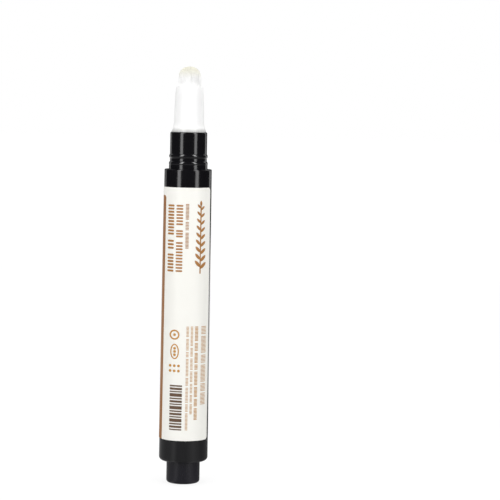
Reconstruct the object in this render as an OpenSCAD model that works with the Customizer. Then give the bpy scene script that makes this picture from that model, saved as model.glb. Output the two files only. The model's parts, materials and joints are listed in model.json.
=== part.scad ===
// Twist pen with a brush tip, for cuticle oil.
// It stands on its end knob: the origin is the middle of the knob's flat foot, +Z runs up to the brush
// and the label's printed front faces -Y. All lengths are in millimetres.

/* [Knob] */
// Diameter of the end knob
knob_d = 10.4; // [9.4:0.1:10.8]
// Height of the knob below the barrel
knob_show = 7; // [5:0.1:9]
// Radius of the knob's foot edge
knob_edge_r = 0.9; // [0.3:0.1:1.4]
// Thickness of the knob's floor
knob_floor = 1.6; // [1.2:0.1:2.5]
// Height of the flange that keeps the knob in the barrel
knob_flange_h = 1; // [0.8:0.1:1.6]

/* [Barrel] */
// Length of the barrel
barrel_l = 90.8; // [85:0.2:110]
// Bore of the barrel
bore_d = 12; // [11.8:0.1:12.6]
// Wall of the barrel at its foot
foot_wall = 1.6; // [1.4:0.05:2.2]
// Wall of the barrel at its mouth
mouth_wall = 1.3; // [1.1:0.05:1.9]
// Thickness of the barrel's end wall round the knob
end_wall = 1.8; // [1.6:0.1:2.6]
// Radius of the barrel's foot edge
barrel_edge_r = 1.2; // [0.4:0.1:1.5]
// Radius of the barrel's mouth edge
mouth_edge_r = 0.3; // [0.1:0.05:0.5]

/* [Label] */
// Bare length of barrel below the label
label_foot_bare = 7.1; // [4:0.1:12]
// Bare length of barrel above the label
label_top_bare = 5.5; // [4:0.1:12]
// Thickness of the label's film
label_t = 0.11; // [0.08:0.01:0.2]
// Angle from the front to the label's right-hand edge
label_edge_angle = 70; // [50:1:90]
// Angle left bare at the label's seam
label_bare_angle = 30; // [10:1:60]
// Radius of the label's corners
label_corner_r = 1.3; // [0.5:0.1:2.5]

/* [Neck] */
// Diameter of the neck's lower step
step_d = 11.9; // [11.6:0.1:12]
// Height of the lower step's straight side
step_h = 1.7; // [1.2:0.1:2.6]
// Diameter of the neck that the cap slides over
neck_d = 11.4; // [11:0.1:11.5]
// Height of the neck above the barrel
neck_h = 11.4; // [9.5:0.1:14]
// Height of the upper snap bead's middle above the barrel
bead_z = 3.95; // [3.8:0.05:5]
// How far the upper bead stands out from the neck
bead_proud = 0.25; // [0.1:0.05:0.35]
// Radius of both beads' section
bead_r = 1; // [0.8:0.05:1.2]
// Radius of the neck's top edge
neck_edge_r = 0.4; // [0.1:0.05:0.6]
// Length of the spigot inside the barrel
spigot_l = 13; // [11:0.5:16]
// Bore of the neck where the wick cup sits
cup_bore_d = 8.6; // [8:0.1:8.8]
// Bore of the neck where the brush holder sits
holder_bore_d = 9.3; // [9:0.1:9.5]
// Depth of the brush holder's seat
holder_seat_l = 8.1; // [6:0.1:9]

/* [Brush] */
// Height of the brush holder above the neck
holder_h = 13.8; // [12:0.1:18]
// Diameter of the holder's flared base
flare_d = 10.9; // [10:0.1:11.2]
// Diameter of the holder just above its flare
holder_d = 9.3; // [9:0.1:9.8]
// Diameter of the holder where its rounded shoulder starts
shoulder_d = 8.8; // [8.6:0.1:9]
// Height of the flare
flare_h = 3.1; // [2:0.1:4]
// Height of the rounded shoulder below the holder's mouth
shoulder_h = 3.6; // [2:0.1:5]
// Bore of the holder where the tuft comes out
tuft_bore_d = 7.6; // [7:0.1:7.8]
// Length of the tuft outside the holder
tuft_show = 6.5; // [5:0.1:9]
// Diameter of the tuft where its dome starts
dome_d = 6.8; // [6:0.1:7.2]
// Height of the tuft's dome
dome_h = 2.8; // [1.5:0.1:3.5]
// Strands along each side of the tuft's square pattern
strands_a_side = 18; // [18:1:22]

/* [Drive] */
// Lead of the rod's thread, in a turn
lead = 4; // [3:0.5:6]
// Radius of the rod's round section
rod_r = 2.2; // [2:0.05:2.3]
// How far the rod's section lies off its axis, which makes the thread
thread_offset = 0.35; // [0.2:0.05:0.4]
// Distance across the rod's two flats
rod_flats = 3.5; // [3.2:0.1:3.9]
// Length of flats still held by the drive sleeve at full stroke
flats_kept = 4.4; // [3:0.1:6]
// Outer diameter of the drive sleeve
sleeve_d = 6.5; // [6.3:0.1:6.7]
// Height of the drive nut
nut_h = 4; // [3:0.5:6]
// Height of the ratchet ring
ratchet_h = 3; // [2.4:0.1:4]
// Teeth of the ratchet, one a click
ratchet_teeth = 24; // [16:1:30]

/* [Piston] */
// Height of the piston
piston_h = 7.2; // [6.4:0.1:9]
// Height left above the piston at full stroke
oil_left = 2.7; // [1:0.1:4]
// Diameter of the rod's snap head
head_d = 3.8; // [3.4:0.1:4.2]
// Height of the rod's snap head
head_h = 1.6; // [1.2:0.1:2]

/* [Fits] */
// Radial clearance where a piece turns or slides in another
running_gap = 0.05; // [0.03:0.01:0.08]
// Radial clearance where a piece is pressed or snapped into another
press_gap = 0.02; // [0.01:0.01:0.04]
// Clearance where moving pieces pass without touching
free_gap = 0.3; // [0.2:0.05:0.4]
// Radial clearance between the rod's thread and the nut
thread_gap = 0.2; // [0.18:0.01:0.25]

/* [Hidden] */

// Segments of a round face
$fn = 96;

// Overrun of every cut past the face it opens
cut = 1;

// Colours, as the pen shows them
black = "#1b1b1e";
film = "#f7f6f1";
milky = "#f4f4f0";
cream = "#f3eedd";
felt = "#efe7d6";
soft_grey = "#8f9496";
pale = "#d9dcdc";

// Heights along the axis, from the foot up
barrel_z = knob_show;
barrel_top = barrel_z + barrel_l;
end_wall_top = barrel_z + end_wall;
knob_flange_z = end_wall_top + running_gap;
knob_top = knob_flange_z + knob_flange_h;
ratchet_z = knob_top + free_gap;
ratchet_top = ratchet_z + ratchet_h;
neck_top = barrel_top + neck_h;
spigot_z = barrel_top - spigot_l;

// The drive: what the barrel leaves is shared alike by the rod's stroke and the oil above the piston
rod_z = knob_floor + free_gap;
piston_lift = free_gap;
drive_length = spigot_z - oil_left - piston_h - piston_lift - nut_h - free_gap - flats_kept - rod_z;
stroke = drive_length / 2;
sleeve_top = rod_z + stroke + flats_kept;
nut_z = sleeve_top + free_gap;
nut_top = nut_z + nut_h;
piston_z = nut_top + piston_lift;
rod_thread_top = nut_top;

// Flat sides that round each corner of the label, whose arc starts and ends this far off the label's edges
label_corner_sides = 6;
label_corner_lift = 0.05;

// Knob and its friction ring
knob_r = knob_d / 2;
knob_hole_r = knob_r + running_gap;
bore_r = bore_d / 2;
knob_flange_r = bore_r - free_gap;
ring_section_r = 0.3;
ring_middle_r = knob_hole_r - running_gap - ring_section_r;
ring_groove_h = 2 * ring_section_r + 2 * press_gap;
ring_groove_r = ring_middle_r - ring_section_r - press_gap;
ring_middle_z = barrel_z + end_wall / 2;

// Drive sleeve, its two keys and its double-D bore
sleeve_r = sleeve_d / 2;
key_w = 1;
key_proud = 0.45;
key_top = ratchet_top - free_gap;
key_z = knob_floor + press_gap;
crest_r = rod_r + thread_offset;
slide_gap = 0.12;
sleeve_bore_r = crest_r + slide_gap;
sleeve_bore_flats = rod_flats + 2 * slide_gap;
sleeve_lead_in = 0.4;

// Ratchet ring and pawls
ratchet_r = bore_r - press_gap;
ratchet_rim = 0.55;
tooth_depth = 0.5;
tooth_root_r = ratchet_r - ratchet_rim;
tooth_tip_r = tooth_root_r - tooth_depth;
pawl_hub_wall = 0.3;
pawl_hub_r = sleeve_r + key_proud + press_gap + pawl_hub_wall;
pawl_arm_out_r = tooth_tip_r - free_gap / 2;
pawl_arm_t = 0.4;
pawl_arm_in_r = pawl_arm_out_r - pawl_arm_t;
pawl_arm_angle = 125;
pawl_root_angle = 14;
pawl_nose_proud = 0.12;
pawl_nose_angle = 9;
pawls = 2;

// Guide sleeve and its ribs
guide_in_r = sleeve_r + free_gap;
guide_wall = 0.9;
guide_end_h = 1.5;
guide_rib_w = 0.8;
guide_ribs = 6;
guide_z = ratchet_top + press_gap;
guide_top = nut_z - press_gap;

// Snap beads of the nut and the spigot, and their grooves in the barrel
snap_r = 0.5;
snap_proud = 0.15;
snap_gap = 0.03;
snap_middle_r = bore_r + snap_proud - snap_r;
nut_snap_z = nut_z + nut_h / 2;
spigot_snap_z = barrel_top - spigot_l / 2;
spigot_r = bore_r - press_gap;
spigot_chamfer = 0.4;
collar_h = 0.3;

// Seal ring in the neck's spigot
seal_section_r = 0.5;
seal_middle_r = bore_r - press_gap - seal_section_r;
seal_groove_r = seal_middle_r - seal_section_r - press_gap;
seal_groove_h = 2 * seal_section_r + 4 * press_gap;
seal_z = spigot_z + 1.5 * seal_groove_h;

// Neck
neck_r = neck_d / 2;
step_r = step_d / 2;
step_bead_proud = 0.05;
step_bead_r = step_r + step_bead_proud - bead_r;
upper_bead_r = neck_r + bead_proud - bead_r;
holder_seat_z = neck_top - holder_seat_l;

// Wick cup, wick and feed tube
cup_r = cup_bore_d / 2 - press_gap;
cup_wall = 0.7;
cup_floor = 1;
cup_z = spigot_z;
cup_top = holder_seat_z - press_gap;
inlet_r = 0.6;
wick_r = cup_r - cup_wall - press_gap;
wick_z = cup_z + cup_floor + press_gap;
wick_top_bare = 1;
wick_top = cup_top - wick_top_bare;
tube_r = 0.75;
tube_wall = 0.3;
tube_depth = 7.5;
tube_z = wick_top - tube_depth;

// Brush holder, tuft and seat
holder_top = neck_top + holder_h;
spigot_holder_r = holder_bore_d / 2 - press_gap;
flare_r = flare_d / 2;
holder_r = holder_d / 2;
shoulder_r = shoulder_d / 2;
mouth_r = tuft_bore_d / 2;
lip_w = 0.25;
tuft_stop_w = 0.15;
seat_bore_r = mouth_r + tuft_stop_w;
tuft_gap = 0.1;
tuft_root_h = 1;
strand_root_depth = 1;
tuft_root_z = neck_top + flare_h;
tuft_stop_z = tuft_root_z + tuft_root_h;
tuft_root_r = seat_bore_r - press_gap;
tuft_r = mouth_r - tuft_gap;
tuft_top = holder_top + tuft_show;
dome_z = tuft_top - dome_h;
dome_r = dome_d / 2;
strand_share = 0.64;
strand_tip_share = 0.4;
seat_r = seat_bore_r - press_gap;
seat_top = tuft_root_z - press_gap;
seat_l = 7.5;
seat_wall = 1.1;
seat_head_h = 3;
tube_top = seat_top;

// Piston
core_r_share = 0.7;
core_r = bore_r * core_r_share;
core_top_cap = 1;
core_top = piston_z + piston_h - core_top_cap;
lip_r = bore_r - running_gap;
waist_depth = 0.45;
lip_h = 1.4;
crown_drop = 0.6;
journal_r = 1.2;
turn_gap = 0.1;
head_r = head_d / 2;
socket_lip_h = 1.2;
head_z = piston_z + socket_lip_h;
socket_slot_w = 0.5;
head_chamfer = 0.5;

// Rod thread
slices_a_turn = 12;
rod_sides = 16;
thread_overrun = 0.8;

// Round ring between two radii
module tube(r_out, r_in, h) {
    difference() {
        cylinder(r = r_out, h = h);
        translate([0, 0, -cut])
            cylinder(r = r_in, h = h + 2 * cut);
    }
}

// Ring of round section, such as a seal or a bead
module round_ring(middle_r, section_r, z) {
    translate([0, 0, z])
        rotate_extrude()
            translate([middle_r, 0])
                circle(r = section_r);
}

// Cross-section of an outer corner of radius r to take away, with its tip at the origin
module corner_waste(r) {
    difference() {
        translate([-r, -r])
            square(r + cut);
        translate([-r, -r])
            circle(r = r);
    }
}

// Section of the rod's thread: a circle off the axis, wound round it as it climbs
module thread_form(r, z, h) {
    turns = h / lead;
    translate([0, 0, z])
        rotate([0, 0, 360 * z / lead])
            linear_extrude(height = h, twist = -360 * turns, slices = ceil(turns * slices_a_turn), $fn = rod_sides)
                translate([thread_offset, 0])
                    circle(r = r);
}

// Point at an angle on a circle
function polar(r, a) = [r * cos(a), r * sin(a)];

// Outer radius of the barrel at a height, with its moulding taper
function barrel_r(z) = bore_r + foot_wall + (mouth_wall - foot_wall) * (z - barrel_z) / barrel_l;

module barrel() {
    color(black)
        difference() {
            rotate_extrude()
                difference() {
                    polygon([
                        [0, barrel_z],
                        [barrel_r(barrel_z), barrel_z],
                        [barrel_r(barrel_top), barrel_top],
                        [0, barrel_top]
                    ]);
                    translate([barrel_r(barrel_z), barrel_z])
                        mirror([0, 1])
                            corner_waste(barrel_edge_r);
                    translate([barrel_r(barrel_top), barrel_top])
                        corner_waste(mouth_edge_r);
                }
            translate([0, 0, end_wall_top])
                cylinder(r = bore_r, h = barrel_l);
            translate([0, 0, barrel_z - cut])
                cylinder(r = knob_hole_r, h = end_wall + 2 * cut);
            round_ring(snap_middle_r, snap_r + snap_gap, nut_snap_z);
            round_ring(snap_middle_r, snap_r + snap_gap, spigot_snap_z);
        }
}

// Cuts one corner of the label: side is 1 for an edge whose film lies clockwise of it, -1 for the other
module label_corner(angle, z, side, up) {
    r = label_corner_r;
    step = 90 / label_corner_sides;
    rotate([0, 0, angle])
        translate([barrel_r(z), 0, z])
            rotate([90, 0, 90])
                mirror([side < 0 ? 1 : 0, 0, 0])
                    mirror([0, up < 0 ? 1 : 0, 0])
                        translate([label_corner_lift, label_corner_lift, -cut])
                            linear_extrude(2 * cut)
                                polygon(concat(
                                    [[-r, cut], [cut, cut], [cut, -r]],
                                    [for (a = [0 : step : 90]) polar(r, a) - [r, r]]
                                ));
}

module label() {
    foot = barrel_z + label_foot_bare;
    top = barrel_top - label_top_bare;
    in_foot = barrel_r(foot) + press_gap / 2;
    in_top = barrel_r(top) + press_gap / 2;
    front = -90;
    start = front + label_edge_angle + label_bare_angle;
    turn = 360 - label_bare_angle;
    color(film)
        difference() {
            rotate([0, 0, start])
                rotate_extrude(angle = turn)
                    polygon([
                        [in_foot, foot],
                        [in_foot + label_t, foot],
                        [in_top + label_t, top],
                        [in_top, top]
                    ]);
            label_corner(start + turn, foot, 1, -1);
            label_corner(start + turn, top, 1, 1);
            label_corner(start, foot, -1, -1);
            label_corner(start, top, -1, 1);
        }
}

module neck_shell() {
    color(black)
        difference() {
            union() {
                rotate_extrude()
                    polygon([
                        [0, spigot_z],
                        [spigot_r - spigot_chamfer, spigot_z],
                        [spigot_r, spigot_z + spigot_chamfer],
                        [spigot_r, barrel_top + collar_h],
                        [step_r, barrel_top + collar_h],
                        [step_r, barrel_top + step_h],
                        [neck_r, barrel_top + step_h],
                        [neck_r, neck_top - neck_edge_r],
                        [0, neck_top - neck_edge_r]
                    ]);
                rotate_extrude()
                    difference() {
                        translate([0, neck_top - 2 * neck_edge_r])
                            square([neck_r, 2 * neck_edge_r]);
                        translate([neck_r, neck_top])
                            corner_waste(neck_edge_r);
                    }
                round_ring(step_bead_r, bead_r, barrel_top + step_h);
                round_ring(upper_bead_r, bead_r, barrel_top + bead_z);
                round_ring(snap_middle_r, snap_r, spigot_snap_z);
            }
            translate([0, 0, seal_z - seal_groove_h / 2])
                tube(bore_r + cut, seal_groove_r, seal_groove_h);
            translate([0, 0, spigot_z - cut])
                cylinder(r = cup_bore_d / 2, h = spigot_l + neck_h);
            translate([0, 0, holder_seat_z])
                cylinder(r = holder_bore_d / 2, h = holder_seat_l + cut);
        }
}

module neck_seal_ring() {
    color(soft_grey)
        round_ring(seal_middle_r, seal_section_r, seal_z);
}

module wick_cup() {
    color(pale)
        difference() {
            translate([0, 0, cup_z])
                cylinder(r = cup_r, h = cup_top - cup_z);
            translate([0, 0, cup_z + cup_floor])
                cylinder(r = cup_r - cup_wall, h = cup_top - cup_z);
            translate([0, 0, cup_z - cut])
                cylinder(r = inlet_r, h = cup_floor + 2 * cut);
        }
}

module wick() {
    color(felt)
        difference() {
            translate([0, 0, wick_z])
                cylinder(r = wick_r, h = wick_top - wick_z);
            translate([0, 0, tube_z - press_gap])
                cylinder(r = tube_r + press_gap, h = tube_depth + cut);
        }
}

module feed_tube() {
    color(pale)
        translate([0, 0, tube_z])
            tube(tube_r, tube_r - tube_wall, tube_top - tube_z);
}

// Radius of the circle whose arc falls by drop over a run, starting level with it
function arc_radius(run, drop) = (run * run + drop * drop) / (2 * drop);

module brush_holder() {
    flare_arc = arc_radius(flare_h, flare_r - holder_r);
    lip_r_out = mouth_r + lip_w;
    shoulder_arc = arc_radius(shoulder_h, shoulder_r - lip_r_out);
    shoulder_z = holder_top - shoulder_h;
    flare_top = neck_top + flare_h;
    color(milky)
        difference() {
            union() {
                translate([0, 0, holder_seat_z + press_gap])
                    cylinder(r = spigot_holder_r, h = holder_seat_l);
                rotate_extrude()
                    difference() {
                        translate([0, neck_top + press_gap])
                            square([flare_r, flare_h - press_gap]);
                        translate([holder_r + flare_arc, flare_top])
                            circle(r = flare_arc, $fn = 4 * $fn);
                    }
                rotate_extrude()
                    polygon([
                        [0, flare_top - press_gap],
                        [holder_r, flare_top - press_gap],
                        [holder_r, flare_top],
                        [shoulder_r, shoulder_z],
                        [0, shoulder_z]
                    ]);
                rotate_extrude()
                    intersection() {
                        translate([0, shoulder_z])
                            square([shoulder_r, shoulder_h]);
                        translate([shoulder_r - shoulder_arc, shoulder_z])
                            circle(r = shoulder_arc, $fn = 4 * $fn);
                    }
            }
            translate([0, 0, holder_seat_z - cut])
                cylinder(r = seat_bore_r, h = tuft_stop_z - holder_seat_z + cut);
            translate([0, 0, tuft_stop_z - cut])
                cylinder(r = mouth_r, h = holder_top - tuft_stop_z + 2 * cut);
        }
}

module brush_seat() {
    color(pale)
        difference() {
            translate([0, 0, seat_top - seat_l])
                cylinder(r = seat_r, h = seat_l);
            translate([0, 0, seat_top - seat_l - cut])
                cylinder(r = seat_r - seat_wall, h = seat_l - seat_head_h + cut);
            translate([0, 0, seat_top - seat_l - cut])
                cylinder(r = tube_r + press_gap, h = seat_l + 2 * cut);
        }
}

// The tuft is one skin: a square pattern of strands is drawn into a disc, and every strand rises from
// four points of its own on the packed bundle, leans in and ends on the dome.

// Place across the tuft of pattern line i, where lines 2k and 2k + 1 are the two sides of strand k
function line_share(i) =
    let (k = floor(i / 2), side = (i % 2) * 2 - 1)
    ((2 * k + 1) + side * strand_share) / strands_a_side - 1;

// A point of the square pattern in a disc of radius 1
function in_disc(u, v) = [u * sqrt(1 - v * v / 2), v * sqrt(1 - u * u / 2)];

// The same point drawn towards its strand's middle by a share of the strand's width
function strand_point(i, j, share) =
    let (
        ku = (2 * floor(i / 2) + 1) / strands_a_side - 1,
        kv = (2 * floor(j / 2) + 1) / strands_a_side - 1,
        u = ku + (line_share(i) - ku) * share,
        v = kv + (line_share(j) - kv) * share
    )
    in_disc(u, v);

// Distance of a strand's middle from the axis, as a share of the tuft's radius
function strand_reach(i, j) =
    norm(in_disc((2 * floor(i / 2) + 1) / strands_a_side - 1, (2 * floor(j / 2) + 1) / strands_a_side - 1));

function strand_top(i, j) = dome_z + dome_h * sqrt(1 - pow(strand_reach(i, j), 2));

module bristles() {
    lines = 2 * strands_a_side;
    last = lines - 1;
    rim = 4 * last;
    // Points: two layers of strand corners, then the rims of the packed bundle and the root, then its middle
    bundle_top = holder_top - strand_root_depth;
    bundle_layer = [
        for (i = [0 : last], j = [0 : last])
            let (p = strand_point(i, j, 1) * tuft_r) [p.x, p.y, bundle_top]
    ];
    tip_layer = [
        for (i = [0 : last], j = [0 : last])
            let (p = strand_point(i, j, strand_tip_share) * dome_r) [p.x, p.y, strand_top(i, j)]
    ];
    // Rim of the pattern, counter-clockwise from its lower left corner
    rim_lines = [
        for (k = [0 : last - 1]) [k, 0],
        for (k = [0 : last - 1]) [last, k],
        for (k = [0 : last - 1]) [last - k, last],
        for (k = [0 : last - 1]) [0, last - k]
    ];
    function rim_ring(r, z) = [
        for (line = rim_lines)
            let (p = strand_point(line.x, line.y, 1), q = p / norm(p) * r) [q.x, q.y, z]
    ];
    corners = lines * lines;
    rings = 2 * corners;
    points = concat(
        bundle_layer, tip_layer,
        rim_ring(tuft_r, tuft_stop_z), rim_ring(tuft_root_r, tuft_stop_z),
        rim_ring(tuft_root_r, tuft_root_z), [[0, 0, tuft_root_z]]
    );
    middle = len(points) - 1;
    function at(layer, i, j) = layer * corners + i * lines + j;
    function rim_at(ring, k) =
        ring < 0 ? at(0, rim_lines[k % rim].x, rim_lines[k % rim].y) : rings + ring * rim + k % rim;
    // Two triangles from four points, seen clockwise from outside
    function quad(a, b, c, d) = [[a, b, c], [a, c, d]];
    gap_faces = [
        for (i = [0 : last - 1], j = [0 : last - 1])
            if (i % 2 == 1 || j % 2 == 1)
                each quad(at(0, i, j), at(0, i, j + 1), at(0, i + 1, j + 1), at(0, i + 1, j))
    ];
    strand_sides = [
        for (i = [0 : 2 : last - 1], j = [0 : 2 : last - 1])
            let (c = [[i, j], [i + 1, j], [i + 1, j + 1], [i, j + 1]])
                for (k = [0 : 3])
                    let (a = c[k], b = c[(k + 1) % 4])
                        each quad(at(0, a.x, a.y), at(1, a.x, a.y), at(1, b.x, b.y), at(0, b.x, b.y))
    ];
    strand_tips = [
        for (i = [0 : 2 : last - 1], j = [0 : 2 : last - 1])
            each quad(at(1, i, j), at(1, i, j + 1), at(1, i + 1, j + 1), at(1, i + 1, j))
    ];
    rim_faces = [
        for (k = [0 : rim - 1], ring = [-1, 0, 1])
            each quad(rim_at(ring, k), rim_at(ring, k + 1), rim_at(ring + 1, k + 1), rim_at(ring + 1, k))
    ];
    root_faces = [
        for (k = [0 : rim - 1]) [rim_at(2, k), rim_at(2, k + 1), middle]
    ];
    color(cream)
        polyhedron(points, concat(gap_faces, strand_sides, strand_tips, rim_faces, root_faces));
}

module ratchet_ring() {
    pitch = 360 / ratchet_teeth;
    color(pale)
        translate([0, 0, ratchet_z])
            linear_extrude(ratchet_h)
                difference() {
                    circle(r = ratchet_r);
                    polygon([
                        for (i = [0 : ratchet_teeth - 1], r = [tooth_tip_r, tooth_root_r])
                            polar(r, i * pitch)
                    ]);
                }
}

module guide_sleeve() {
    length = guide_top - guide_z;
    outer = bore_r - press_gap;
    color(pale)
        translate([0, 0, guide_z])
            difference() {
                union() {
                    cylinder(r = guide_in_r + guide_wall, h = length);
                    cylinder(r = outer, h = guide_end_h);
                    translate([0, 0, length - guide_end_h])
                        cylinder(r = outer, h = guide_end_h);
                    intersection() {
                        cylinder(r = outer, h = length);
                        for (i = [0 : guide_ribs - 1])
                            rotate([0, 0, i * 360 / guide_ribs])
                                translate([0, -guide_rib_w / 2, 0])
                                    cube([bore_r, guide_rib_w, length]);
                    }
                }
                translate([0, 0, -cut])
                    cylinder(r = guide_in_r, h = length + 2 * cut);
            }
}

module drive_nut() {
    color(pale)
        difference() {
            union() {
                translate([0, 0, nut_z])
                    cylinder(r = bore_r - press_gap, h = nut_h);
                round_ring(snap_middle_r, snap_r, nut_snap_z);
            }
            thread_form(rod_r + thread_gap, nut_z - thread_overrun, nut_h + 2 * thread_overrun);
        }
}

// Section of the two keys of the drive sleeve, grown by a gap for their slots
module key_section(gap) {
    square([2 * (sleeve_r + key_proud + gap), key_w + 2 * gap], center = true);
}

module knob() {
    color(black)
        difference() {
            rotate_extrude()
                difference() {
                    polygon([
                        [0, 0],
                        [knob_r, 0],
                        [knob_r, knob_flange_z],
                        [knob_flange_r, knob_flange_z],
                        [knob_flange_r, knob_top],
                        [0, knob_top]
                    ]);
                    translate([knob_r, 0])
                        mirror([0, 1])
                            corner_waste(knob_edge_r);
                }
            translate([0, 0, ring_middle_z - ring_groove_h / 2])
                tube(knob_r + cut, ring_groove_r, ring_groove_h);
            translate([0, 0, knob_floor])
                cylinder(r = sleeve_r + press_gap, h = knob_top);
            translate([0, 0, knob_floor])
                linear_extrude(knob_top)
                    key_section(press_gap);
        }
}

module knob_friction_ring() {
    color(soft_grey)
        round_ring(ring_middle_r, ring_section_r, ring_middle_z);
}

module drive_sleeve() {
    color(pale)
        difference() {
            union() {
                translate([0, 0, key_z])
                    cylinder(r = sleeve_r, h = sleeve_top - key_z);
                translate([0, 0, key_z])
                    linear_extrude(key_top - key_z)
                        key_section(0);
            }
            translate([0, 0, key_z - cut])
                linear_extrude(sleeve_top - key_z + 2 * cut)
                    intersection() {
                        circle(r = sleeve_bore_r);
                        square([2 * sleeve_bore_r, sleeve_bore_flats], center = true);
                    }
            translate([0, 0, sleeve_top - sleeve_lead_in])
                cylinder(r1 = sleeve_bore_r - sleeve_lead_in, r2 = sleeve_bore_r, h = sleeve_lead_in);
        }
}

// Slice of a disc from angle 0 to an angle
module sector(r, angle) {
    steps = ceil(angle / 30);
    polygon(concat([[0, 0]], [for (i = [0 : steps]) polar(2 * r, angle * i / steps)]));
}

module pawl_ring() {
    color(pale)
        translate([0, 0, knob_top + press_gap])
            linear_extrude(key_top - knob_top - press_gap)
                difference() {
                    union() {
                        circle(r = pawl_hub_r);
                        for (i = [0 : pawls - 1])
                            rotate(i * 360 / pawls) {
                                intersection() {
                                    difference() {
                                        circle(r = pawl_arm_out_r);
                                        circle(r = pawl_arm_in_r);
                                    }
                                    sector(pawl_arm_out_r, pawl_arm_angle);
                                }
                                intersection() {
                                    circle(r = pawl_arm_out_r);
                                    sector(pawl_arm_out_r, pawl_root_angle);
                                }
                                polygon([
                                    polar(pawl_arm_in_r, pawl_arm_angle - pawl_nose_angle),
                                    polar(pawl_arm_out_r, pawl_arm_angle - pawl_nose_angle),
                                    polar(pawl_arm_out_r + pawl_nose_proud, pawl_arm_angle),
                                    polar(pawl_arm_in_r, pawl_arm_angle)
                                ]);
                            }
                    }
                    circle(r = sleeve_r + press_gap);
                    key_section(press_gap);
                }
}

module piston_seal() {
    color(milky)
        difference() {
            rotate_extrude()
                polygon([
                    [0, piston_z],
                    [lip_r - waist_depth, piston_z],
                    [lip_r, piston_z + waist_depth],
                    [lip_r, piston_z + lip_h],
                    [lip_r - waist_depth, piston_z + lip_h + waist_depth],
                    [lip_r - waist_depth, piston_z + piston_h - lip_h - waist_depth],
                    [lip_r, piston_z + piston_h - lip_h],
                    [lip_r, piston_z + piston_h - waist_depth],
                    [core_r, piston_z + piston_h - waist_depth - crown_drop],
                    [0, piston_z + piston_h]
                ]);
            translate([0, 0, piston_z - cut])
                cylinder(r = core_r + press_gap, h = piston_h - core_top_cap - crown_drop + cut);
        }
}

module piston_core() {
    top = core_top - crown_drop - press_gap;
    color(pale)
        difference() {
            translate([0, 0, piston_z])
                cylinder(r = core_r, h = top - piston_z);
            translate([0, 0, piston_z - cut])
                cylinder(r = journal_r + turn_gap, h = head_z - piston_z + cut);
            translate([0, 0, head_z - turn_gap])
                cylinder(r = head_r + turn_gap, h = head_h + 2 * turn_gap);
            for (a = [0, 90])
                rotate([0, 0, a])
                    translate([-head_r - cut / 2, -socket_slot_w / 2, piston_z - cut])
                        cube([2 * head_r + cut, socket_slot_w, head_z + head_h - piston_z + cut]);
        }
}

module screw_rod() {
    color(milky)
        union() {
            intersection() {
                thread_form(rod_r, rod_z, rod_thread_top - rod_z);
                translate([-2 * rod_r, -rod_flats / 2, rod_z - cut])
                    cube([4 * rod_r, rod_flats, rod_thread_top - rod_z + 2 * cut]);
            }
            translate([0, 0, rod_thread_top - cut])
                cylinder(r = journal_r, h = head_z - rod_thread_top + 2 * cut);
            translate([0, 0, head_z])
                cylinder(r = head_r, h = head_h - head_chamfer);
            translate([0, 0, head_z + head_h - head_chamfer])
                cylinder(r1 = head_r, r2 = head_r - head_chamfer, h = head_chamfer);
        }
}

barrel();
label();
neck_shell();
neck_seal_ring();
wick_cup();
wick();
feed_tube();
brush_holder();
brush_seat();
bristles();
ratchet_ring();
guide_sleeve();
drive_nut();
knob();
knob_friction_ring();
drive_sleeve();
pawl_ring();
piston_seal();
piston_core();
screw_rod();
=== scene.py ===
"""Looks of a slim twist pen with a brush tip, for cuticle oil.

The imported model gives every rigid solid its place. This script gives the solids their finishes, prints the
label, replaces the coarse tuft with one of fine filaments, and sets up the lamps, the table and the camera.
Lengths are written in millimetres times mm, in the model's frame: the pen stands on its knob at the
origin, +Z runs up to the brush, and the printed front faces -Y. Lamps and table are in plain metres.
"""

import json
import math
import random

import bpy
from mathutils import Matrix, Vector


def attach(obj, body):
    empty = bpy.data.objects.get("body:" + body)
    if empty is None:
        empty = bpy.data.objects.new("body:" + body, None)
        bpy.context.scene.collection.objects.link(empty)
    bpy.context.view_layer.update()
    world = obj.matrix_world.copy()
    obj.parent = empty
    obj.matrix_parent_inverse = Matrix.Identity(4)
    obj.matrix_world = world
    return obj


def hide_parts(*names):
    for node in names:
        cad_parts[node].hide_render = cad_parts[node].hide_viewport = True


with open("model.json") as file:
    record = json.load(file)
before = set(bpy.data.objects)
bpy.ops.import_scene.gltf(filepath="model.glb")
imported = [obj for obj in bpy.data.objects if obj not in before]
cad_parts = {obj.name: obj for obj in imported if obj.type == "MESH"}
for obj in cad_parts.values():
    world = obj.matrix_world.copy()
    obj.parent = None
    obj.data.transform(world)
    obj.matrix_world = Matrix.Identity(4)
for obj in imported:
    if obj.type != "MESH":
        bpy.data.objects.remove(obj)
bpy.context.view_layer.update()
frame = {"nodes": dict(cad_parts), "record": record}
nodes = frame["nodes"]
mm = 0.001

# Sizes that the solids have too
label_foot, label_top = 14.1 * mm, 92.3 * mm
label_radius = 7.57 * mm
neck_top, holder_top = 109.2 * mm, 123.0 * mm
tuft_root, tuft_stop = 112.3 * mm, 113.3 * mm  # the foot and the top of the collar at the tuft's root
tuft_dome, tuft_top = 126.7 * mm, 129.45 * mm  # the dome's foot and its crown


# Hand tools

def let_go():
    """Leaves edit mode and deselects every object."""
    if bpy.context.object and bpy.context.object.mode != "OBJECT":
        leave_edit()
    bpy.ops.object.select_all(action="DESELECT")


def take(*pieces):
    """Selects these pieces alone; the first is the active one."""
    let_go()
    for piece in pieces:
        piece.select_set(True)
    bpy.context.view_layer.objects.active = pieces[0]


def edit_whole():
    """Goes into edit mode on the active piece with all of it selected."""
    bpy.ops.object.mode_set(mode="EDIT")
    bpy.ops.mesh.select_all(action="SELECT")


def leave_edit():
    bpy.ops.object.mode_set(mode="OBJECT")


def settle(piece, name):
    """Names a new piece and moves its place into its mesh."""
    take(piece)
    bpy.ops.object.transform_apply(location=True, rotation=True, scale=True)
    piece.name = piece.data.name = name
    return piece


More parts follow.
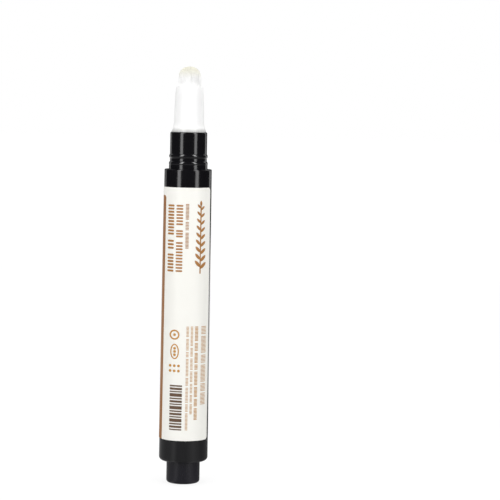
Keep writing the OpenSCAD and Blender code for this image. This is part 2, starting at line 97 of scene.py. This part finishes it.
def copy_at(model, place):
    """A copy of a piece with its own mesh, which is moved by a matrix."""
    copy = bpy.data.objects.new(model.name + "_copy", model.data.copy())
    bpy.context.scene.collection.objects.link(copy)
    copy.data.transform(place)
    return copy


def join(name, pieces):
    """Makes one piece of several."""
    take(*pieces)
    bpy.ops.object.join()
    joined = bpy.context.object
    joined.name = joined.data.name = name
    return joined


def remove(*models):
    for model in models:
        bpy.data.objects.remove(model)


def give_finish(piece, material):
    """Leaves a piece with this material alone."""
    piece.data.materials.clear()
    piece.data.materials.append(material)


# Shader sums

class Wire:
    """A socket of a shader tree on which sums are written as in plain arithmetic."""

    def __init__(self, bench, socket):
        self.bench, self.socket = bench, socket

    def of(self, output):
        """Another output of the same node."""
        return Wire(self.bench, self.socket.node.outputs[output])

    def __add__(self, other):
        return self.bench.maths("ADD", self, other)

    def __sub__(self, other):
        return self.bench.maths("SUBTRACT", self, other)

    def __rsub__(self, other):
        return self.bench.maths("SUBTRACT", other, self)

    def __mul__(self, other):
        return self.bench.maths("MULTIPLY", self, other)

    def __truediv__(self, other):
        return self.bench.maths("DIVIDE", self, other)

    def __pow__(self, other):
        return self.bench.maths("POWER", self, other)

    def __gt__(self, other):
        return self.bench.maths("GREATER_THAN", self, other)

    def __abs__(self):
        return self.bench.maths("ABSOLUTE", self)

    def at_least(self, other):
        return self.bench.maths("MAXIMUM", self, other)

    def at_most(self, other):
        return self.bench.maths("MINIMUM", self, other)

    def ease(self, low, high):
        """0 below low, 1 above high and smooth between them."""
        values = {"Value": self, "From Min": low, "From Max": high}
        return self.bench.node("ShaderNodeMapRange", {"interpolation_type": "SMOOTHSTEP"}, values)

    __radd__, __rmul__ = __add__, __mul__


class Bench:
    """A node tree that is wired up by name."""

    def __init__(self, tree):
        self.tree = tree

    def node(self, kind, settings=None, values=None):
        """Adds a node, makes its settings, then fills its sockets, and returns its first output."""
        node = self.tree.nodes.new(kind)
        for name, value in (settings or {}).items():
            if name == "stops":
                ramp = node.color_ramp.elements
                while len(ramp) < len(value):
                    ramp.new(0.5)
                for stop, (position, colour) in zip(ramp, value):
                    stop.position, stop.color = position, (*colour, 1)
            else:
                setattr(node, name, value)
        for name, value in (values or {}).items():
            self.fill(node, name, value)
        return Wire(self, node.outputs[0])

    def fill(self, node, name, value):
        """Links or sets one socket, named by its label or its number."""
        if isinstance(name, int):
            socket = node.inputs[name]
        else:
            socket = next(s for s in node.inputs if s.name == name and s.enabled)
        if isinstance(value, Wire):
            self.tree.links.new(value.socket, socket)
        elif isinstance(value, (tuple, list)) and socket.type == "RGBA":
            socket.default_value = (*value, 1)
        else:
            socket.default_value = value

    def maths(self, operation, *values):
        """A Math node on one, two or three values."""
        return self.node("ShaderNodeMath", {"operation": operation}, dict(enumerate(values)))

    def mix(self, share, low, high):
        """A colour between two colours."""
        mixed = self.node("ShaderNodeMix", {"data_type": "RGBA"}, {"Factor": share, "A": low, "B": high})
        return Wire(self, next(s for s in mixed.socket.node.outputs if s.name == "Result" and s.enabled))

    def own_place(self):
        """The shaded point in the model's frame, since every piece's object sits at the origin."""
        return self.node("ShaderNodeTexCoord").of("Object")

    def axes(self, place):
        """The x, y and z of a point."""
        xyz = self.node("ShaderNodeSeparateXYZ", {}, {"Vector": place})
        return xyz.of("X"), xyz.of("Y"), xyz.of("Z")

    def by_ray(self, in_view, in_gloss, on_matt):
        """A level of light for each kind of ray: seen, mirrored in gloss, and falling on matt surfaces."""
        ray = self.node("ShaderNodeLightPath")
        seen = (ray.of("Is Camera Ray") + ray.of("Is Transmission Ray")).at_most(1)
        mirrored = ray.of("Is Glossy Ray")
        return in_view * seen + (1 - seen) * (in_gloss * mirrored + on_matt * (1 - mirrored))


class Finish(Bench):
    """A material around one Principled shader, whose even values are set on the shader itself."""

    def __init__(self, name, **even):
        self.material = bpy.data.materials.new(name)
        self.material.use_nodes = True
        super().__init__(self.material.node_tree)
        self.shader = self.tree.nodes["Principled BSDF"]
        self.give(**even)
        self.place = self.own_place()

    def give(self, **values):
        """Fills sockets of the shader: base_color stands for Base Color, and so on."""
        for name, value in values.items():
            label = name.replace("_", " ").title().replace("Ior", "IOR")
            self.fill(self.shader, label, value)

    def noise(self, size, detail=2.0, along_pen=1.0):
        """Soft noise whose lumps are about size across; along_pen under 1 draws them out along Z."""
        place = self.place
        if along_pen < 1:
            place = self.node("ShaderNodeMapping", {}, {"Vector": place, "Scale": (1, 1, along_pen)})
        return self.node("ShaderNodeTexNoise", {}, {"Vector": place, "Scale": 1 / size, "Detail": detail})

    def bump(self, height, depth):
        """Raises the surface by height times depth."""
        values = {"Strength": 1.0, "Distance": depth, "Height": height}
        self.give(normal=self.node("ShaderNodeBump", {}, values))


def srgb(code):
    """The linear colour of a hex code."""
    parts = [int(code[i:i + 2], 16) / 255 for i in (0, 2, 4)]
    return tuple(c / 12.92 if c <= 0.04045 else ((c + 0.055) / 1.055) ** 2.4 for c in parts)


# Finishes

def black_plastic(name, colour, roughness):
    """Polished black moulding: slow flow in its gloss, pinhead grain and a few hair-fine scuffs."""
    finish = Finish(name, ior=1.5)
    flow = finish.noise(9 * mm)
    grain = finish.noise(0.25 * mm, 3)
    scuffs = finish.noise(0.5 * mm, 4, along_pen=0.12).ease(0.62, 0.7)
    lighter = [1.35 * c for c in colour]
    finish.give(base_color=finish.mix(flow, colour, lighter))
    finish.give(roughness=roughness + 0.05 * flow + 0.03 * grain + 0.05 * scuffs)
    finish.bump(0.7 * flow + 0.02 * grain, 0.03 * mm)
    return finish.material


def printed_panel(finish):
    """1 on the brown panel that is printed round the label's back, and 0 on the white round it."""
    middle = math.radians(202)  # from the front, round towards +X
    half_arc = math.radians(97.8) * label_radius
    foot, top = label_foot - 1.5 * mm, label_top - 2.55 * mm  # it runs off the film's foot
    corner, blur = 0.9 * mm, 0.03 * mm
    x, y, z = finish.axes(finish.place)
    # Distance round the pen from the panel's middle; it jumps opposite that, where the film is white
    bearing = middle - math.radians(90)
    outward = x * math.cos(bearing) + y * math.sin(bearing)
    sideways = y * math.cos(bearing) - x * math.sin(bearing)
    arc = finish.maths("ARCTAN2", sideways, outward) * label_radius
    # A rectangle with round corners is all that lies within their radius of a smaller rectangle
    past_side = (abs(arc) - (half_arc - corner)).at_least(0)
    past_end = (abs(z - (top + foot) / 2) - ((top - foot) / 2 - corner)).at_least(0)
    return 1 - ((past_side ** 2 + past_end ** 2) ** 0.5).ease(corner - blur, corner + blur)


def printed_film():
    """White film with a brown printed panel, both with the fine grain of the film."""
    finish = Finish("printed_film", ior=1.42)
    panel = printed_panel(finish)
    fibre = finish.noise(0.18 * mm, 4)
    cloud = finish.noise(7 * mm)
    white = finish.mix(cloud, srgb("f5f4ee"), srgb("f9f8f2"))
    brown = finish.mix(cloud, srgb("965f2d"), srgb("a26f3b"))
    brown = finish.mix(fibre.ease(0.35, 0.75) * 0.35, brown, srgb("845228"))
    finish.give(base_color=finish.mix(panel, white, brown))
    finish.give(roughness=0.34 + 0.08 * fibre + 0.05 * panel)
    finish.bump(0.5 * fibre + 0.4 * panel, 0.004 * mm)
    return finish.material


def ink(name, light, dark):
    """Printing ink: a little uneven in tone, with the film's fine grain showing through it."""
    finish = Finish(name, ior=1.5)
    grain = finish.noise(0.12 * mm, 3)
    cloud = finish.noise(2.5 * mm)
    finish.give(base_color=finish.mix(0.6 * cloud + 0.4 * grain, srgb(dark), srgb(light)))
    finish.give(roughness=0.42 + 0.12 * grain)
    finish.bump(grain, 0.003 * mm)
    return finish.material


def milky_plastic():
    """Translucent white moulding, satin, with light that wanders inside it, and painted shade at the
    holder's foot.
    """
    finish = Finish("milky_plastic", ior=1.46, subsurface_weight=0.3, subsurface_scale=1.2 * mm,
                    subsurface_radius=(1, 1, 1))
    cloud = finish.noise(3 * mm)
    grain = finish.noise(0.2 * mm, 3)
    # Painted shade: the holder's foot, which sits on the black neck, is darkened in its base colour, where
    # less light comes back out of it
    z = finish.axes(finish.place)[2]
    painted_foot_shade = (z > neck_top - 1 * mm) * (1 - z.ease(neck_top, neck_top + 1.7 * mm))
    white = finish.mix(cloud, srgb("fcfcfb"), srgb("fefefe"))
    finish.give(base_color=finish.mix(painted_foot_shade, white, srgb("b8b8b6")))
    finish.give(roughness=0.3 + 0.08 * grain + 0.06 * cloud)
    finish.bump(0.6 * cloud + 0.05 * grain, 0.02 * mm)
    return finish.material


def natural_plastic():
    """Uncoloured moulding: pale grey-white, satin, faintly mottled."""
    finish = Finish("natural_plastic", ior=1.5, subsurface_weight=0.2, subsurface_scale=0.8 * mm,
                    subsurface_radius=(1, 1, 1))
    cloud = finish.noise(2 * mm, 3)
    grain = finish.noise(0.15 * mm, 3)
    finish.give(base_color=finish.mix(cloud, srgb("dfe2e1"), srgb("eef0ef")))
    finish.give(roughness=0.38 + 0.1 * grain)
    finish.bump(0.5 * cloud + 0.1 * grain, 0.015 * mm)
    return finish.material


def nylon_filament():
    """Fine nylon, milk-white in its shaft and cream towards the tip, each filament in a tone of its own."""
    finish = Finish("cream_nylon", ior=1.5)
    each = finish.noise(0.12 * mm, along_pen=0.02)
    z = finish.axes(finish.place)[2]
    tip = z.ease(holder_top + 2.2 * mm, tuft_top - 0.4 * mm)
    shaft = finish.mix(each.ease(0.3, 0.7), srgb("fdfdfc"), srgb("fefefe"))
    cream = finish.mix(each.ease(0.3, 0.7), srgb("f2f0e2"), srgb("f7f6ec"))
    finish.give(base_color=finish.mix(tip, shaft, cream))
    finish.give(roughness=0.42 + 0.1 * each)
    return finish.material


def wool_felt():
    """Pressed felt: off-white, rough, with matted fibres."""
    finish = Finish("white_felt", ior=1.4)
    matted = finish.noise(0.5 * mm, 6)
    fibre = finish.node("ShaderNodeTexVoronoi", {"feature": "F1"},
                        {"Vector": finish.place, "Scale": 1 / (0.3 * mm)})
    finish.give(base_color=finish.mix(matted, srgb("d9cfba"), srgb("f1ead9")))
    finish.give(roughness=0.85 + 0.1 * matted)
    finish.bump(0.7 * matted + 0.3 * fibre, 0.12 * mm)
    return finish.material


def soft_rubber():
    """Grey rubber: matt, finely pitted."""
    finish = Finish("grey_rubber", ior=1.5)
    cloud = finish.noise(1.5 * mm, 3)
    pits = finish.noise(0.08 * mm, 3)
    finish.give(base_color=finish.mix(cloud, srgb("7c8083"), srgb("93979a")))
    finish.give(roughness=0.6 + 0.15 * pits)
    finish.bump(pits, 0.01 * mm)
    return finish.material


finishes = {
    "black_gloss": black_plastic("black_gloss", (0.0043, 0.0041, 0.0052), roughness=0.1),
    "black_satin": black_plastic("black_satin", (0.0052, 0.0047, 0.0088), roughness=0.2),
    "label_film": printed_film(),
    "milky_plastic": milky_plastic(),
    "natural_plastic": natural_plastic(),
    "cream_nylon": nylon_filament(),
    "white_felt": wool_felt(),
    "grey_rubber": soft_rubber(),
}
for row in frame["record"]["subparts"]:
    for slot in nodes[row["node"]].material_slots:
        slot.material = finishes[row["material_slot"]]


# Label print: flat marks are drawn in front of the label, with x across it and z up it, then pressed on

copper_ink = ink("copper_ink", "b88040", "a26e34")
fine_ink = ink("fine_ink", "c89038", "ba802c")
dark_ink = ink("dark_ink", "6e533c", "5a4330")
ink_thickness, ink_stand_off = 0.012 * mm, 0.03 * mm
title_pitch, fine_pitch = 0.92, 0.42  # from tick to tick, in millimetres
print_plane = -8.3 * mm
to_the_front = (math.radians(90), 0, 0)  # turns a flat mark to face the front


def at(x, z):
    """A move across and up the label, in millimetres."""
    return Matrix.Translation((x * mm, 0, z * mm))


def stroke(name, width, height, corner):
    """A flat bar with rounded corners, its middle at x = z = 0; sizes in millimetres."""
    bpy.ops.mesh.primitive_plane_add(size=1, location=(0, print_plane, 0), rotation=to_the_front)
    bar = bpy.context.object
    bar.scale = (width * mm, height * mm, 1)
    settle(bar, name)
    edit_whole()
    bpy.ops.mesh.bevel(offset=corner * mm, segments=3, affect="VERTICES", clamp_overlap=True)
    leave_edit()
    return bar


def leaf(length, width):
    """A flat leaf, pointed at both ends, that grows along +X from x = z = 0; sizes in millimetres."""
    bpy.ops.mesh.primitive_circle_add(vertices=16, radius=0.5, fill_type="NGON",
                                      location=(0, print_plane, 0), rotation=to_the_front)
    blade = bpy.context.object
    blade.scale = (length * mm, width * mm, 1)
    settle(blade, "leaf")
    for vertex in blade.data.vertices:
        share = 2 * abs(vertex.co.x) / (length * mm)
        vertex.co.z *= 1 - 0.55 * share ** 4
    blade.data.transform(at(length / 2, 0))
    return blade


def ring(x, z, radius, inner, squeeze=1.0):
    """A flat ring round (x, z), made narrower across by squeeze; sizes in millimetres."""
    bpy.ops.mesh.primitive_circle_add(vertices=28, radius=radius * mm, fill_type="NGON",
                                      location=(x * mm, print_plane, z * mm), rotation=to_the_front)
    hoop = bpy.context.object
    hoop.scale = (squeeze, 1, 1)
    settle(hoop, "ring")
    bpy.ops.object.mode_set(mode="EDIT")
    bpy.ops.mesh.select_mode(type="FACE")
    bpy.ops.mesh.select_all(action="SELECT")
    bpy.ops.mesh.inset(thickness=(radius - inner) * mm)
    bpy.ops.mesh.delete(type="FACE")
    leave_edit()
    return hoop


def lay_on_label(flat, material):
    """Cuts flat marks into narrow facets, presses them onto the label and gives them an ink's thickness."""
    facet, cuts_each_side = 0.3 * mm, 24
    take(flat)
    edit_whole()
    for i in range(-cuts_each_side, cuts_each_side + 1):
        bpy.ops.mesh.select_all(action="SELECT")
        bpy.ops.mesh.bisect(plane_co=(i * facet, 0, 0), plane_no=(1, 0, 0), threshold=0.001 * mm)
    leave_edit()
    press = flat.modifiers.new("press", "SHRINKWRAP")
    press.target = nodes["label"]
    press.wrap_method = "PROJECT"
    press.wrap_mode = "ABOVE_SURFACE"
    press.use_project_y = True
    press.use_positive_direction, press.use_negative_direction = True, False
    press.offset = ink_stand_off
    bpy.ops.object.modifier_apply(modifier="press")
    wall = flat.modifiers.new("wall", "SOLIDIFY")
    wall.thickness, wall.offset = ink_thickness, 0
    bpy.ops.object.modifier_apply(modifier="wall")
    bpy.ops.object.shade_smooth_by_angle(angle=math.radians(40))
    give_finish(flat, material)
    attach(flat, "barrel")


def tick_row(name, material, x, half_width, tick_height, pitch, groups):
    """Rounded ticks in a row down the label, in groups, each from its top to its foot; in millimetres."""
    tick = stroke("tick", 2 * half_width, tick_height, 0.45 * tick_height)
    ticks = []
    for top, foot in groups:
        count = round((top - foot) / pitch)
        for i in range(count):
            ticks.append(copy_at(tick, at(x, top - (i + 0.5) * (top - foot) / count)))
    remove(tick)
    lay_on_label(join(name, ticks), material)


tick_row("title_ticks_front", copper_ink, x=-2.1, half_width=1.05, tick_height=0.54, pitch=title_pitch,
         groups=[(87.2, 80.6), (79.4, 76.9), (75.8, 66.2)])
tick_row("title_ticks_left", copper_ink, x=-4.75, half_width=0.95, tick_height=0.6, pitch=title_pitch,
         groups=[(87.2, 77.6), (76.4, 73.2), (72.1, 66.2)])
tick_row("small_line", copper_ink, x=0.25, half_width=0.54, tick_height=0.23, pitch=fine_pitch,
         groups=[(87.4, 82.5), (81.9, 79.2), (78.6, 73.6)])

sprig_x, stem_middle, top_leaf = 4.35, 76.7, 86.6
pair_count, lowest_pair, pair_step = 9, 67.4, 2.25
leaf_lean, left_leaf_lift = 38, 0.55
blade = leaf(length=3.0, width=0.92)
stem = stroke("stem", width=0.36, height=21.6, corner=0.16)


def leaf_at(z, lean, long, wide):
    """A leaf on the stem: lean in degrees from upright towards +X, long and wide as shares of its size."""
    turn = Matrix.Rotation(math.radians(lean - 90), 4, "Y")
    return copy_at(blade, at(sprig_x, z) @ turn @ Matrix.Diagonal((long, 1, wide, 1)))


sprig = [copy_at(stem, at(sprig_x, stem_middle))]
for i in range(pair_count):
    pair_z = lowest_pair + pair_step * i
    size = 1 - 0.045 * i
    sprig.append(leaf_at(pair_z, leaf_lean, 0.86 * size, size))
    sprig.append(leaf_at(pair_z + left_leaf_lift, -leaf_lean, 0.86 * size, size))
sprig.append(leaf_at(top_leaf, 0, 0.6, 0.7))
remove(blade, stem)
lay_on_label(join("leaf_sprig", sprig), copper_ink)

# Rows of fine print: middle across, half width, height of a tick, and groups from top to foot
fine_print = [
    (0.95, 0.42, 0.18, [(49.7, 46.4), (45.9, 42.2), (41.8, 40.1), (39.7, 34.2), (33.8, 31.3), (30.8, 26.0),
                        (25.6, 23.2), (22.8, 17.4)]),
    (2.25, 0.38, 0.19, [(49.7, 43.6), (43.1, 40.3), (39.8, 36.2), (35.8, 32.4), (32.0, 28.9), (28.5, 26.1),
                        (25.6, 22.4)]),
    (3.65, 0.5, 0.24, [(49.7, 45.1), (44.6, 42.0), (41.5, 38.3), (37.9, 36.2), (35.7, 31.4), (30.9, 27.7),
                       (27.2, 24.8), (24.3, 20.6)]),
    (5.75, 0.7, 0.17, [(49.7, 47.1), (46.6, 41.3), (40.8, 38.2), (37.7, 32.3), (31.9, 29.4), (29.0, 25.2)]),
]
for column, (x, half_width, tick_height, groups) in enumerate(fine_print):
    tick_row("fine_print_%d" % column, fine_ink, x, half_width, tick_height, fine_pitch, groups)

stripe_heights = [0.46, 0.68, 0.4, 1.03] * 3 + [0.46, 0.68, 0.4]
stripe_x, stripe_top, stripe_gap = -2.4, 31.4, 0.34
stripes = []
for height in stripe_heights:
    stripe = stroke("stripe", width=3.8, height=height, corner=0.08)
    stripe.data.transform(at(stripe_x, stripe_top - height / 2))
    stripes.append(stripe)
    stripe_top -= height + stripe_gap
lay_on_label(join("stripe_block", stripes), dark_ink)

icons = [ring(-3.1, 47.0, radius=1.55, inner=1.1), ring(-3.0, 41.8, radius=2.4, inner=2.05, squeeze=0.56)]
dots_in_rings = [(-3.1, 47.0), (-3.0, 42.8), (-3.0, 41.8), (-3.0, 40.8)]
dots_in_rows = [(x, z) for z in (37.4, 35.8) for x in (-4.3, -3.0, -1.7)]
dot = stroke("dot", width=0.8, height=0.8, corner=0.3)
icons += [copy_at(dot, at(x, z)) for x, z in dots_in_rings + dots_in_rows]
remove(dot)
lay_on_label(join("ring_icons", icons), fine_ink)


# Tuft: filaments round a plain core, from which only their free ends stand out

def turned(name, profile, sides):
    """A round solid: a disc at the first (radius, height), drawn up ring by ring and closed at its top."""
    radius, height = profile[0]
    bpy.ops.mesh.primitive_circle_add(vertices=sides, radius=radius, fill_type="NGON",
                                      location=(0, 0, height))
    piece = settle(bpy.context.object, name)
    edit_whole()
    for radius_next, height_next in profile[1:]:
        bpy.ops.mesh.extrude_region_move(TRANSFORM_OT_translate={"value": (0, 0, height_next - height)})
        share = radius_next / radius
        bpy.ops.transform.resize(value=(share, share, 1), center_override=(0, 0, height_next))
        radius, height = radius_next, height_next
    bpy.ops.mesh.select_all(action="SELECT")
    bpy.ops.mesh.normals_make_consistent(inside=False)
    leave_edit()
    return piece


bundle_top = holder_top - 1.2 * mm
filament_foot = bundle_top - 0.3 * mm
filament_count, filament_radius = 2100, 0.075 * mm
root_radius, tip_radius = 3.62 * mm, 3.34 * mm  # of the outermost filaments
sway, shortfall = 0.05, 0.25  # how far tips stray sideways and end below the dome, in millimetres
golden_angle = math.pi * (3 - math.sqrt(5))

# The core: a collar at its root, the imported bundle, and a dome that stays below the filaments' tips
core = turned("tuft_core", [
    (3.9 * mm, tuft_root), (3.93 * mm, tuft_root + 0.1 * mm), (3.93 * mm, tuft_stop),
    (3.7 * mm, tuft_stop + 0.02 * mm), (3.7 * mm, bundle_top), (3.5 * mm, holder_top + 0.4 * mm),
    (3.2 * mm, tuft_dome - 0.9 * mm), (2.6 * mm, tuft_dome + 0.1 * mm), (1.6 * mm, tuft_dome + 0.9 * mm),
    (0.5 * mm, tuft_dome + 1.3 * mm),
], 48)
# One filament of unit height that tapers to a rounded tip, as shares of its radius and its height
filament_shape = [(0.55, 0), (1, 0.15), (1, 0.8), (0.9, 0.93), (0.65, 0.98), (0.3, 1)]
filament = turned("filament", [(filament_radius * r, z) for r, z in filament_shape], 5)

random.seed(11)
tuft = [core]
for i in range(filament_count):
    share, angle = math.sqrt((i + 0.5) / filament_count), i * golden_angle
    low_radius, high_radius = root_radius * share, tip_radius * share
    low = Vector((low_radius * math.cos(angle), low_radius * math.sin(angle), filament_foot))
    stray = Vector((random.gauss(0, sway), random.gauss(0, sway), 0)) * mm
    rise = tuft_dome + (tuft_top - tuft_dome) * math.sqrt(1 - share ** 2) - random.random() * shortfall * mm
    high = Vector((high_radius * math.cos(angle), high_radius * math.sin(angle), rise)) + stray
    axis = high - low
    turn = Vector((0, 0, 1)).rotation_difference(axis).to_matrix().to_4x4()
    tuft.append(copy_at(filament, Matrix.Translation(low) @ turn @ Matrix.Diagonal((1, 1, axis.length, 1))))
remove(filament)
brush_tuft = join("brush_tuft", tuft)
bpy.ops.object.shade_smooth_by_angle(angle=math.radians(50))
give_finish(brush_tuft, finishes["cream_nylon"])
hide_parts("bristles")
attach(brush_tuft, "barrel")


# Studio, in metres, with azimuths in degrees from the front towards +X

left_lamp, right_lamp = -42, 46.8


def soft_box(name, place, turn, width, height, radiance):
    """A rectangular lamp of even radiance."""
    bpy.ops.object.light_add(type="AREA", location=place, rotation=turn)
    lamp = bpy.context.object
    lamp.name = name
    lamp.data.shape, lamp.data.size, lamp.data.size_y = "RECTANGLE", width, height
    lamp.data.energy = radiance * math.pi * width * height
    return lamp


def strip_lamp(name, azimuth, radiance, distance=0.55, low_end=0.03):
    """A tall soft box that faces the pen."""
    width, height = 0.155, 0.8
    bearing = math.radians(azimuth)
    place = (distance * math.sin(bearing), -distance * math.cos(bearing), low_end + height / 2)
    return soft_box(name, place, (math.radians(90), 0, bearing), width, height, radiance)


strip_lamp("strip_left", left_lamp, radiance=4.2)
strip_lamp("strip_right", right_lamp, radiance=3.8)
for side, azimuth in (("left", left_lamp), ("right", right_lamp)):
    # Seen in gloss only: these brighten the highlights on what slopes upwards
    upper = strip_lamp("upper_" + side, azimuth, radiance=8, distance=0.56, low_end=0.33)
    upper.visible_diffuse = False
strip_lamp("strip_back_left", -138, radiance=0.7)
strip_lamp("strip_back_right", 138, radiance=1.1)
overhead = soft_box("overhead", place=(0, 0, 0.8), turn=(0, 0, 0), width=0.8, height=0.8, radiance=1.85)
overhead.visible_glossy = False

world = bpy.data.worlds.new("studio")
world.use_nodes = True
bpy.context.scene.world = world
room = Bench(world.node_tree)
background = world.node_tree.nodes["Background"]
room.fill(background, "Color", (1, 1, 1))
room.fill(background, "Strength", room.by_ray(in_view=1, in_gloss=0.034, on_matt=0.55))

bpy.ops.mesh.primitive_plane_add(size=12, location=(0, 0, 0))
floor = settle(bpy.context.object, "floor")
table = bpy.data.materials.new("white_table")
table.use_nodes = True
surface = Bench(table.node_tree)
place = surface.own_place()
x, y = surface.axes(place)[:2]
azimuth = surface.maths("ARCTAN2", x, 0 - y)
reach = surface.node("ShaderNodeVectorMath", {"operation": "LENGTH"}, {0: place}).of("Value")

# What black plastic mirrors from the table is painted, seen in gloss only: painted pools of light under the
# lamps, as (azimuth, level), painted shade where the levels fall away round +X, and a painted bright stretch
# behind the pen
painted_pools = [(-180, 0.18), (-165, 0.32), (-150, 0.28), (-128, 0.18), (-85, 0.18), (-60, 0.28), (-42, 0.6),
         (-27, 0.18), (14, 0.17), (47, 0.45), (75, 0.18), (90, 0.04), (120, 0.01), (165, 0.01), (180, 0.18)]
stops = [(degrees / 360 + 0.5, (level, level, level)) for degrees, level in painted_pools]
painted_pool_level = surface.node("ShaderNodeValToRGB", {"stops": stops}, {"Fac": azimuth / math.tau + 0.5})
rear = abs(azimuth).ease(math.radians(110), math.radians(150))
painted_stretch_behind = rear * reach.ease(0.12, 0.25) * (1 - reach.ease(0.7, 1.4))
# Painted reflection: the table's level in gloss, from the painted pools, painted shade and painted stretch
# behind
in_gloss = 0.02 + painted_pool_level * (1 - reach.ease(0.2, 1.4)) + 0.75 * painted_stretch_behind

glow = surface.node("ShaderNodeEmission", {}, {
    "Color": surface.by_ray(in_view=1.02, in_gloss=in_gloss, on_matt=0.6), "Strength": 1.0})
# A little of the table is matt near the pen, and takes its shadow
matt = surface.node("ShaderNodeBsdfDiffuse", {}, {"Color": (0.9, 0.9, 0.9)})
near = 1 - reach.ease(0.2, 0.8)
shading = surface.node("ShaderNodeMixShader", {}, {0: 0.16 * near, 1: glow, 2: matt})
surface.fill(table.node_tree.nodes["Material Output"], "Surface", shading)
floor.data.materials.append(table)

# The camera looks a little down at the pen from just right of its front, and is slightly rolled
camera_place = (0.0196, -0.619, 0.11852)
camera_turn = Matrix.Rotation(math.radians(85.8), 4, "X") @ Matrix.Rotation(math.radians(1.13), 4, "Z")
bpy.ops.object.camera_add()
camera = bpy.context.object
camera.matrix_world = Matrix.Translation(camera_place) @ camera_turn
camera.data.sensor_width, camera.data.lens = 36, 144.07  # millimetres
camera.data.clip_start, camera.data.clip_end = 0.01, 20
bpy.context.scene.camera = camera
bpy.context.scene.view_settings.view_transform = "Standard"
